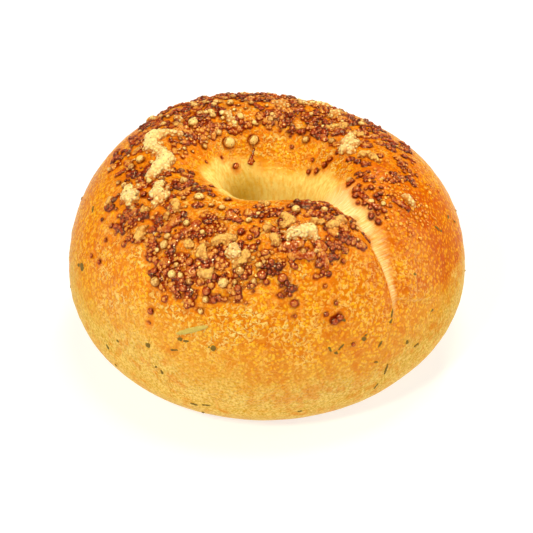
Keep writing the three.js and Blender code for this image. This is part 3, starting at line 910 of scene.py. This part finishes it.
def bead_material(name, foot, side, top, roughness, porous=0.0):
    """Cheese fried in its own fat: small hard beads with a shiny skin, each toasted to its own shade.

    The colours go from the foot to the top, darkest to lightest: partly toasting, partly painted shade at the
    foot and painted highlight on top. Burst bubbles leave brown pores.
    """
    material, tree = new_material(name)
    place = add(tree, "TexCoord").outputs["Object"]
    tint = add(tree, "Attribute", {"attribute_name": "tint"}).outputs["Fac"]
    rise = add(tree, "Attribute", {"attribute_name": "rise"}).outputs["Fac"]
    grain = add(tree, "TexNoise", {}, {"Vector": place, "Scale": 1 / (0.45 * MM), "Detail": 2.0})
    # The top of a bead is pale and its foot dark: partly toasting in the fat, partly painted highlight on top
    # and painted shade at the foot.
    height = add(tree, "MapRange", {},
                 {"Value": rise, "From Min": -0.1, "From Max": 0.95, "To Min": -1.1, "To Max": -0.2})
    share = add(tree, "Math", TIMES_PLUS, {0: grain, 1: 1.1, 2: height})
    share = add(tree, "Math", PLUS_CLAMPED, {0: share, 1: tint})
    lower = add(tree, "MapRange", {}, {"Value": share, "From Max": 0.5})
    upper = add(tree, "MapRange", {}, {"Value": share, "From Min": 0.5})
    tone = add(tree, "Mix", COLOUR, {0: lower, FIRST: foot, SECOND: side})
    tone = add(tree, "Mix", COLOUR, {0: upper, FIRST: tone, SECOND: top})
    if porous:
        pores = add(tree, "TexVoronoi", {}, {"Vector": place, "Scale": 1 / (0.8 * MM)})
        pore = add(tree, "MapRange", {},
                   {"Value": pores, "From Min": 0.16, "From Max": 0.34, "To Min": porous, "To Max": 0.0})
        tone = add(tree, "Mix", COLOUR, {0: pore, FIRST: tone, SECOND: foot})
    waves = add(tree, "TexNoise", {}, {"Vector": place, "Scale": 1 / (1.3 * MM), "Detail": 1.0})
    dents = add(tree, "Bump", {}, {"Strength": 0.8, "Distance": 0.2 * MM, "Height": waves})
    skin = add(tree, "BsdfPrincipled", {}, {
        "Base Color": tone,
        "Roughness": roughness,
        "IOR": 1.55,
        "Specular IOR Level": shine(tree, 1.0, 0.05),
        "Specular Tint": FAT_GLOSS,
        "Subsurface Weight": 0.1,
        "Subsurface Radius": (1.0, 0.3, 0.1),
        "Subsurface Scale": 0.6 * MM,
        "Normal": dents,
    })
    add(tree, "OutputMaterial", {}, {"Surface": skin})
    return material


def leaf_material(name, body, shade, grain):
    """Dried leaf or stalk baked into the crust: fibrous, dull, darker between the fibres."""
    material, tree = new_material(name)
    place = add(tree, "TexCoord").outputs["Object"]
    fibre = add(tree, "TexNoise", {}, {"Vector": place, "Scale": 1 / (grain * MM), "Detail": 2.0})
    tone = add(tree, "Mix", COLOUR, {0: fibre, FIRST: body, SECOND: shade})
    relief = add(tree, "Bump", {}, {"Strength": 0.5, "Distance": 0.05 * MM, "Height": fibre})
    leaf = add(tree, "BsdfPrincipled", {}, {
        "Base Color": tone, "Roughness": 0.6, "IOR": 1.45, "Specular IOR Level": 0.15, "Normal": relief,
    })
    add(tree, "OutputMaterial", {}, {"Surface": leaf})
    return material


def floor_material():
    """Opal acrylic lit from below, as under a product in a light tent: white, with next to no shadow."""
    material, tree = new_material("lit_opal_acrylic")
    place = add(tree, "TexCoord").outputs["Object"]
    grain = add(tree, "TexNoise", {}, {"Vector": place, "Scale": 1 / (40 * MM), "Detail": 2.0})
    tone = add(tree, "Mix", COLOUR, {0: grain, FIRST: (0.43, 0.43, 0.44), SECOND: (0.45, 0.45, 0.46)})
    sheet = add(tree, "BsdfPrincipled", {}, {
        "Base Color": tone, "Roughness": 0.9, "Specular IOR Level": 0.1,
        "Emission Color": (0.96, 0.97, 1), "Emission Strength": 0.68,
    })
    add(tree, "OutputMaterial", {}, {"Surface": sheet})
    return material


# ==== operators ===========================================================================


class BAGEL_OT_crust(bpy.types.Operator):
    """Makes the ring of baked dough with its seam, bubbles and browning"""

    bl_idname = "bagel.crust"
    bl_label = "Crust"

    def execute(self, context):
        sizes, colours = context.scene.bagel_sizes, context.scene.bagel_colours
        deselect_all()
        bpy.ops.mesh.primitive_torus_add(
            major_segments=RING_STEPS, minor_segments=SECTION_STEPS, major_radius=2, minor_radius=1,
            generate_uvs=False,
        )
        piece = context.object
        piece.name = "crust"
        torus = vertex_places(piece)
        share = np.arctan2(torus[:, 1], torus[:, 0]) / np.pi
        steps = (np.degrees(np.arctan2(torus[:, 2], np.hypot(torus[:, 0], torus[:, 1]) - 2)) + 90) % 360 / 360
        up = np.interp(steps, *zip(*SECTION_SPREAD))
        around = seam_angle(up) + 180 * (share - SEAM_CROWDING * np.sin(np.pi * share))
        points, _ = crust(around, up)
        piece.data.vertices.foreach_set("co", points.ravel())
        piece.data.update()
        around = (around + 180) % 360 - 180
        self.mark(piece, around, up, points)
        add_displacement(piece, "CLOUDS", 15 * MM, sizes.swell, 1.0)
        bubbles = add_displacement(piece, "VORONOI", sizes.bubble, -sizes.bubble_rise, 0.0, "blistered")
        bubbles.noise_intensity = 1.0
        apply_modifiers(piece)
        finish_piece(piece, crust_material(colours, sizes))
        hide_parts("bagel")
        return {"FINISHED"}

    def mark(self, piece, around, up, points):
        """Stores how the dough baked: golden flank, browned crown, cream seam and hole."""
        broad, patch = mottle(points, 14, 3.0), mottle(points, 6, 9.0)
        distance = past_seam(around, up)
        golden, bake, baked_lobe = browning(around, up, distance, broad, patch)
        wall_edge = 116 + 17 * wave(around, 1, 85)
        wall = ease((up - wall_edge + 6 * patch) / 11) * (1 - ease((up - 235) / 25))
        left_side = ease((turn_between(around, 80) + 5) / 60)
        cream = cream_band(distance, up)
        blistered = ease((up + 40) / 40) * (1 - ease((up - wall_edge + 4) / 14)) * (1 - 0.9 * cream)
        dense = 0.3 + 0.7 * ease((mottle(points, 9, 31.0) + 0.4) / 0.6)
        dense *= 1 - 0.7 * near(around, 180, 40) - 1.1 * baked_lobe
        dense *= 1 - 0.45 * near(around, -62, 14)
        marks = {
            "golden": golden,
            "bake": np.clip(bake, 0, 1),
            "wall": wall,
            # Darker far down the hole, more on the left: painted shade.
            "deep_shade": ease((up - 128) / 24) * wall * (0.35 + 0.65 * left_side),
            "cream": cream,
            "blistered": blistered * (1 - 0.3 * baked_lobe),
            "ridged": blistered * ease((up - 4 + 12 * patch) / 26) * np.maximum(dense, 0),
            "across": np.clip(distance, -30, 30) / THREAD_LENGTH,
            "along": up * SECTION_MM_A_DEGREE / THREAD_WIDTH,
        }
        for name, values in marks.items():
            write_attribute(piece, name, values)
        group = piece.vertex_groups.new(name="blistered")
        levels = np.round(blistered * BLISTER_LEVELS).astype(int)
        for level in range(1, BLISTER_LEVELS + 1):
            group.add(np.nonzero(levels == level)[0].tolist(), level / BLISTER_LEVELS, "REPLACE")


def curd_blobs(runs, seed):
    """Balls strung along each run of lumps, with crumbs round them: places on the crust and half-widths."""
    random = np.random.default_rng(seed)
    spots, halves = [], []
    for run in runs.values():
        lumps = np.array(run, float)
        places, _ = seen_at(lumps[:, :2])
        for k, half in enumerate(lumps[:, 2]):
            following = min(k + 1, len(lumps) - 1)
            gap = np.linalg.norm(places[following] - places[k]) / MM
            steps = max(1, int(gap / (0.5 * half)))
            for step in range(steps):
                share = step / steps
                size = (1 - share) * half + share * lumps[following, 2]
                spot = (1 - share) * places[k] + share * places[following]
                spots.append(spot)
                halves.append(0.98 * size)
                for _ in range(CRUMBS_A_LUMP):
                    spots.append(spot + random.normal(0, CRUMB_SPREAD, 3) * size * MM)
                    halves.append(size * random.uniform(CRUMB_SMALLEST, CRUMB_LARGEST))
    return settled(np.array(spots))[0], np.array(halves)


def melt(piece, voxel, softness):
    """Runs a heap of balls into one skin, whose faces are as wide as voxel, in millimetres."""
    remesh = piece.modifiers.new("melt", "REMESH")
    remesh.mode = "VOXEL"
    remesh.voxel_size = voxel * MM
    soften = piece.modifiers.new("soften", "SMOOTH")
    soften.iterations = softness


def make_curds(name, runs, seed, rise, material):
    """Lumps of cheese melted into each other, with a crumbled, pitted skin."""
    points, half = curd_blobs(runs, seed)
    _, normals = crust(*angles(points))
    random = np.random.default_rng(seed + 1)
    bases = bases_on(normals, random.uniform(0, 360, len(points)))
    half = half * MM
    radii = np.stack([half, half * random.uniform(0.8, 1.1, len(half)), half * rise], -1)
    piece = joined_copies(name, ball_template(2), points + normals * (0.3 * half)[:, None], bases, radii)
    melt(piece, CURD_FACE, 2)
    add_displacement(piece, "CLOUDS", 1.3 * MM, 0.8 * rise * MM, 0.5)
    add_displacement(piece, "VORONOI", 0.75 * MM, 0.3 * MM, 0.5)
    apply_modifiers(piece)
    places = vertex_places(piece)
    above = above_crust(places)
    write_attribute(piece, "rise", above / np.percentile(above, 90))
    write_attribute(piece, "tint", 0.3 + 0.5 * mottle(places, 1.5, 5.0))
    finish_piece(piece, material)


class BAGEL_OT_curds(bpy.types.Operator):
    """Makes the pale curds of melted cheese, those that browned to tan and the dark glazes"""

    bl_idname = "bagel.curds"
    bl_label = "Curds"

    def execute(self, context):
        sizes, colours = context.scene.bagel_sizes, context.scene.bagel_colours
        pale = curd_material("melted_curd", colours.pale, colours.pale_edge, colours)
        tan = curd_material("tanned_curd", colours.tan, colours.tan_edge, colours)
        fried = bead_material("fried_glaze", colours.bead_dark, colours.bead_red, colours.bead_amber, 0.16)
        make_curds("pale_curds", CURDS, 11, sizes.curd_rise, pale)
        make_curds("tan_curds", TAN_CURDS, 12, sizes.curd_rise, tan)
        make_curds("fried_glazes", GLAZES, 13, sizes.glaze_rise, fried)
        return {"FINISHED"}


def make_beads(name, places, half, shades, material, seed, sink, subdivisions=2):
    """Round beads sunk a little in the crust. Each has its own squash, turn and tint."""
    random = np.random.default_rng(seed)
    points, normals = places
    count = len(points)
    squash = np.stack([random.uniform(0.8, 1.1, count), random.uniform(0.8, 1.1, count),
                       random.uniform(0.55, 0.85, count)], -1)
    radii = half[:, None] * squash * MM
    bases = bases_on(normals, random.uniform(0, 360, count))
    template = ball_template(subdivisions)
    piece = joined_copies(name, template, points + normals * (half * sink * MM)[:, None], bases, radii)
    write_attribute(piece, "tint", np.repeat(np.clip(shades, 0, 1), len(template[0])))
    write_attribute(piece, "rise", np.tile(template[0][:, 2], count))
    finish_piece(piece, material)


def clustered(count, seed, cover):
    """Beads that fried together in clusters: places with directions, half-widths and shades."""
    random = np.random.default_rng(seed)
    centres = scatter(count, (0.7, 2.1), seed, cover, 0.7)
    points, normals = crust(centres[:, 0], centres[:, 1])
    member = np.repeat(np.arange(count), random.integers(CLUSTER_FROM, CLUSTER_BELOW, count))
    away = random.normal(0, CLUSTER_SPREAD, (len(member), 3)) * centres[member, 2:3] * MM
    away -= (away * normals[member]).sum(1, keepdims=True) * normals[member]
    half = random.uniform(0.0, 1.0, len(member)) ** 1.8 * 0.5 + 0.3 + 0.1 * (centres[member, 2] - 1)
    shades = random.beta(0.9, 1.4, count)[member] + random.normal(0, 0.2, len(member))
    return settled(points[member] + away), half, shades


def make_pads(name, places, half, shades, material, seed):
    """Low pads of cheese that fried under the beads, each toasted to its own shade."""
    random = np.random.default_rng(seed)
    points, normals = places
    count = len(points)
    squash = np.stack([np.ones(count), random.uniform(0.7, 1.1, count), random.uniform(0.2, 0.4, count)], -1)
    bases = bases_on(normals, random.uniform(0, 360, count))
    piece = joined_copies(name, ball_template(2), points, bases, half[:, None] * squash * MM)
    melt(piece, PAD_FACE, 1)
    add_displacement(piece, "CLOUDS", 0.8 * MM, 0.25 * MM, 0.5)
    apply_modifiers(piece)
    tree = nearest_tree(points)
    spots = vertex_places(piece)
    write_attribute(piece, "tint", [shades[tree.find(spot)[1]] for spot in spots])
    write_attribute(piece, "rise", 0.3 + above_crust(spots))
    finish_piece(piece, material)


def cover_beside_seam(around, up, points):
    """Where the crust bubbled in fat, on the lobe beside the seam."""
    away = near(around, -30, 15) * ease((up - 40) / 20) * (1 - ease((up - 100) / 20))
    return away * seam_clear(around, up) * (0.2 + 0.8 * patchy(points, 5, 0.0, 51.0))


def cover_in_patches(around, up, points):
    """Where the cheese fried in clusters."""
    return cheese_cover(around, up) * (0.12 + 0.88 * patchy(points, 6.5, -0.12, 21.0))


def cover_around_left(around, up, points):
    """Where the small beads stayed pale, more of them on the left."""
    side = 0.25 + 0.75 * ease((wave(around, 1, 160) + 0.2) / 0.8)
    return cheese_cover(around, up) * side


class BAGEL_OT_beads(bpy.types.Operator):
    """Scatters the beads of cheese: large round ones where listed, small ones where cheese fell"""

    bl_idname = "bagel.beads"
    bl_label = "Beads"

    def execute(self, context):
        sizes, colours = context.scene.bagel_sizes, context.scene.bagel_colours
        toasted = bead_material("toasted_cheese", colours.bead_dark, colours.bead_red, colours.bead_amber,
                                0.14)
        golden = bead_material("golden_cheese", colours.pale_bead_foot, colours.pale_bead_side,
                               colours.pale_bead_top, 0.2, porous=0.8)
        amber = bead_material("fat_fried_crust", colours.fried_foot, colours.fried_side, colours.fried_top,
                              0.12)

        places, half, shades = clustered(sizes.clusters, 31, cover_in_patches)
        side = places[0][:, 0] < 0
        for name, chosen in (("fried_left", side), ("fried_right", ~side)):
            make_beads(name, (places[0][chosen], places[1][chosen]), half[chosen], shades[chosen], toasted,
                       seed=41, sink=0.25)
        pads = half > PAD_BEADS_FROM
        make_pads("fried_pads", (places[0][pads], places[1][pads]), 1.5 * half[pads], 0.5 * shades[pads],
                  toasted, seed=45)

        random = np.random.default_rng(42)
        small = scatter(sizes.pale_beads, (0.4, 0.95), 33, cover_around_left, 1.1)
        small_places = settled(crust(small[:, 0], small[:, 1])[0])
        make_beads("pale_beads", small_places, small[:, 2], random.normal(0.45, 0.25, len(small)), golden,
                   seed=43, sink=0.35)
        fat = scatter(sizes.fat_bubbles, (0.35, 0.75), 35, cover_beside_seam, 0.95)
        make_beads("fat_bubbles", settled(crust(fat[:, 0], fat[:, 1])[0]), fat[:, 2],
                   random.normal(0.55, 0.2, len(fat)), amber, seed=46, sink=0.1)

        spots, halves = [places[0], small_places[0]], [half, small[:, 2]]
        for name, rows, shade, material, slot in (
            ("round_beads", PALE_BEADS, 0.66, golden, "cheese"),
            ("tan_beads", TAN_BEADS, 0.42, golden, "cheese"),
            ("dark_beads", DARK_BEADS, 0.3, toasted, "toasted_cheese"),
        ):
            rows = np.array(rows)
            where = seen_at(rows[:, :2])
            make_beads(name, where, rows[:, 2], random.normal(shade, 0.1, len(rows)), material, seed=44,
                       sink=0.4, subdivisions=3)
            spots.append(where[0])
            halves.append(rows[:, 2])
        self.stain(np.vstack(spots), np.concatenate(halves))
        return {"FINISHED"}

    def stain(self, spots, half):
        """Darkens the crust beside the beads: a wide stain where their fat ran, and a tight dark ring, partly
        burnt crust and partly painted shadow.
        """
        piece = bpy.data.objects["crust"]
        tree = nearest_tree(spots)
        gaps = []
        for place in vertex_places(piece):
            _, k, distance = tree.find(place)
            gaps.append(max(distance / MM - half[k], 0))
        gaps = np.array(gaps)
        write_attribute(piece, "stain", np.exp(-((gaps / STAIN_REACH) ** 2)))
        write_attribute(piece, "burn_and_shadow", np.exp(-((gaps / BURN_AND_SHADOW_REACH) ** 2)))


class BAGEL_OT_herbs(bpy.types.Operator):
    """Lays flecks of dried herb and one pale stalk in the crust"""

    bl_idname = "bagel.herbs"
    bl_label = "Herbs"

    def execute(self, context):
        colours = context.scene.bagel_colours
        flecks = leaf_material("dried_herb", colours.herb, colours.herb_fibre, 0.3)
        stalk = leaf_material("herb_stalk", colours.stalk, colours.stalk_fibre, 0.5)
        rows = np.array(HERBS, float)
        random = np.random.default_rng(51)
        hidden = np.stack([random.uniform(0.7, 2, HIDDEN_HERBS), random.uniform(0.3, 0.8, HIDDEN_HERBS),
                           random.uniform(0, 180, HIDDEN_HERBS)], -1)
        behind = crust(random.uniform(-10, 190, HIDDEN_HERBS), random.uniform(-30, 45, HIDDEN_HERBS))[0]
        front, back = seen_at(rows[:, :2]), settled(behind)
        places = [np.vstack(pair) for pair in zip(front, back)]
        self.lay("herb_flecks", places, np.vstack([rows[:, 2:], hidden]), 0.2, 3, flecks)
        self.lay("herb_stalk", seen_at([STALK[:2]]), np.array([STALK[2:]]), 0.32, 4, stalk)
        return {"FINISHED"}

    def lay(self, name, places, sizes, thickness, subdivisions, material):
        points, normals = places
        bases = seen_bases(normals, sizes[:, 2])
        radii = np.stack([sizes[:, 0] * 0.55, sizes[:, 1] * 0.6, np.full(len(sizes), thickness)], -1) * MM
        piece = joined_copies(name, ball_template(subdivisions), points, bases, radii)
        add_displacement(piece, "CLOUDS", 0.5 * MM, 0.5 * MM, 0.5)
        apply_modifiers(piece)
        finish_piece(piece, material)


class BAGEL_OT_stage(bpy.types.Operator):
    """Sets up the white floor, the light tent and the camera"""

    bl_idname = "bagel.stage"
    bl_label = "Stage"

    def execute(self, context):
        view = context.scene.bagel_view
        deselect_all()
        bpy.ops.mesh.primitive_plane_add(size=FLOOR_SIZE, location=(0, 0, 0))
        floor = context.object
        floor.name = "floor"
        floor.data.materials.append(floor_material())
        floor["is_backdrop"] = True

        world = bpy.data.worlds.new("light_tent")
        world.use_nodes = True
        tree = world.node_tree
        tree.nodes.clear()
        sky = add(tree, "Background", {}, {"Color": view.tent_colour, "Strength": view.tent})
        add(tree, "OutputWorld", {}, {"Surface": sky})
        context.scene.world = world

        target = Vector((0, 0, AIM_HEIGHT))
        for name, place, side, share in LIGHTS:
            light = bpy.data.lights.new(name, "AREA")
            light.color = view.warmth
            light.size = side
            light.energy = view.key * share
            lamp = bpy.data.objects.new(name, light)
            lamp.location = place
            lamp.rotation_euler = (target - lamp.location).to_track_quat("-Z", "Y").to_euler()
            context.collection.objects.link(lamp)

        camera = bpy.data.cameras.new("camera")
        camera.lens = view.lens
        camera.sensor_width = SENSOR
        camera.clip_start = 0.01
        holder = bpy.data.objects.new("camera", camera)
        holder.location, forward, _ = view_axes()
        holder.rotation_euler = forward.to_track_quat("-Z", "Y").to_euler()
        context.collection.objects.link(holder)
        context.scene.camera = holder
        context.scene.view_settings.view_transform = "Standard"
        return {"FINISHED"}


class BAGEL_PT_panel(bpy.types.Panel):
    """Lists the bagel's pieces, sizes and colours"""

    bl_idname = "BAGEL_PT_panel"
    bl_label = "Bagel"
    bl_space_type = "VIEW_3D"
    bl_region_type = "UI"
    bl_category = "Bagel"

    def draw(self, context):
        for group in GROUPS:
            settings = getattr(context.scene, group)
            box = self.layout.box()
            for name in settings.bl_rna.properties.keys():
                if name not in ("rna_type", "name"):
                    box.prop(settings, name)
        for operator in OPERATORS:
            self.layout.operator(operator.bl_idname)


GROUPS = {"bagel_sizes": BagelSizes, "bagel_colours": BagelColours, "bagel_view": BagelView}
OPERATORS = (BAGEL_OT_crust, BAGEL_OT_curds, BAGEL_OT_beads, BAGEL_OT_herbs, BAGEL_OT_stage)


def register():
    for cls in (*GROUPS.values(), *OPERATORS, BAGEL_PT_panel):
        bpy.utils.register_class(cls)
    for name, group in GROUPS.items():
        setattr(bpy.types.Scene, name, PointerProperty(type=group))


def unregister():
    for name in GROUPS:
        delattr(bpy.types.Scene, name)
    for cls in reversed((*GROUPS.values(), *OPERATORS, BAGEL_PT_panel)):
        bpy.utils.unregister_class(cls)


def main():
    register()
    bpy.ops.bagel.crust()
    bpy.ops.bagel.curds()
    bpy.ops.bagel.beads()
    bpy.ops.bagel.herbs()
    bpy.ops.bagel.stage()
    boxes = {"cad": CAD_BOX, "visual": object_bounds()}
    boxes = {name: [[float(v) for v in corner] for corner in box] for name, box in boxes.items()}


if __name__ == "__main__":
    main()
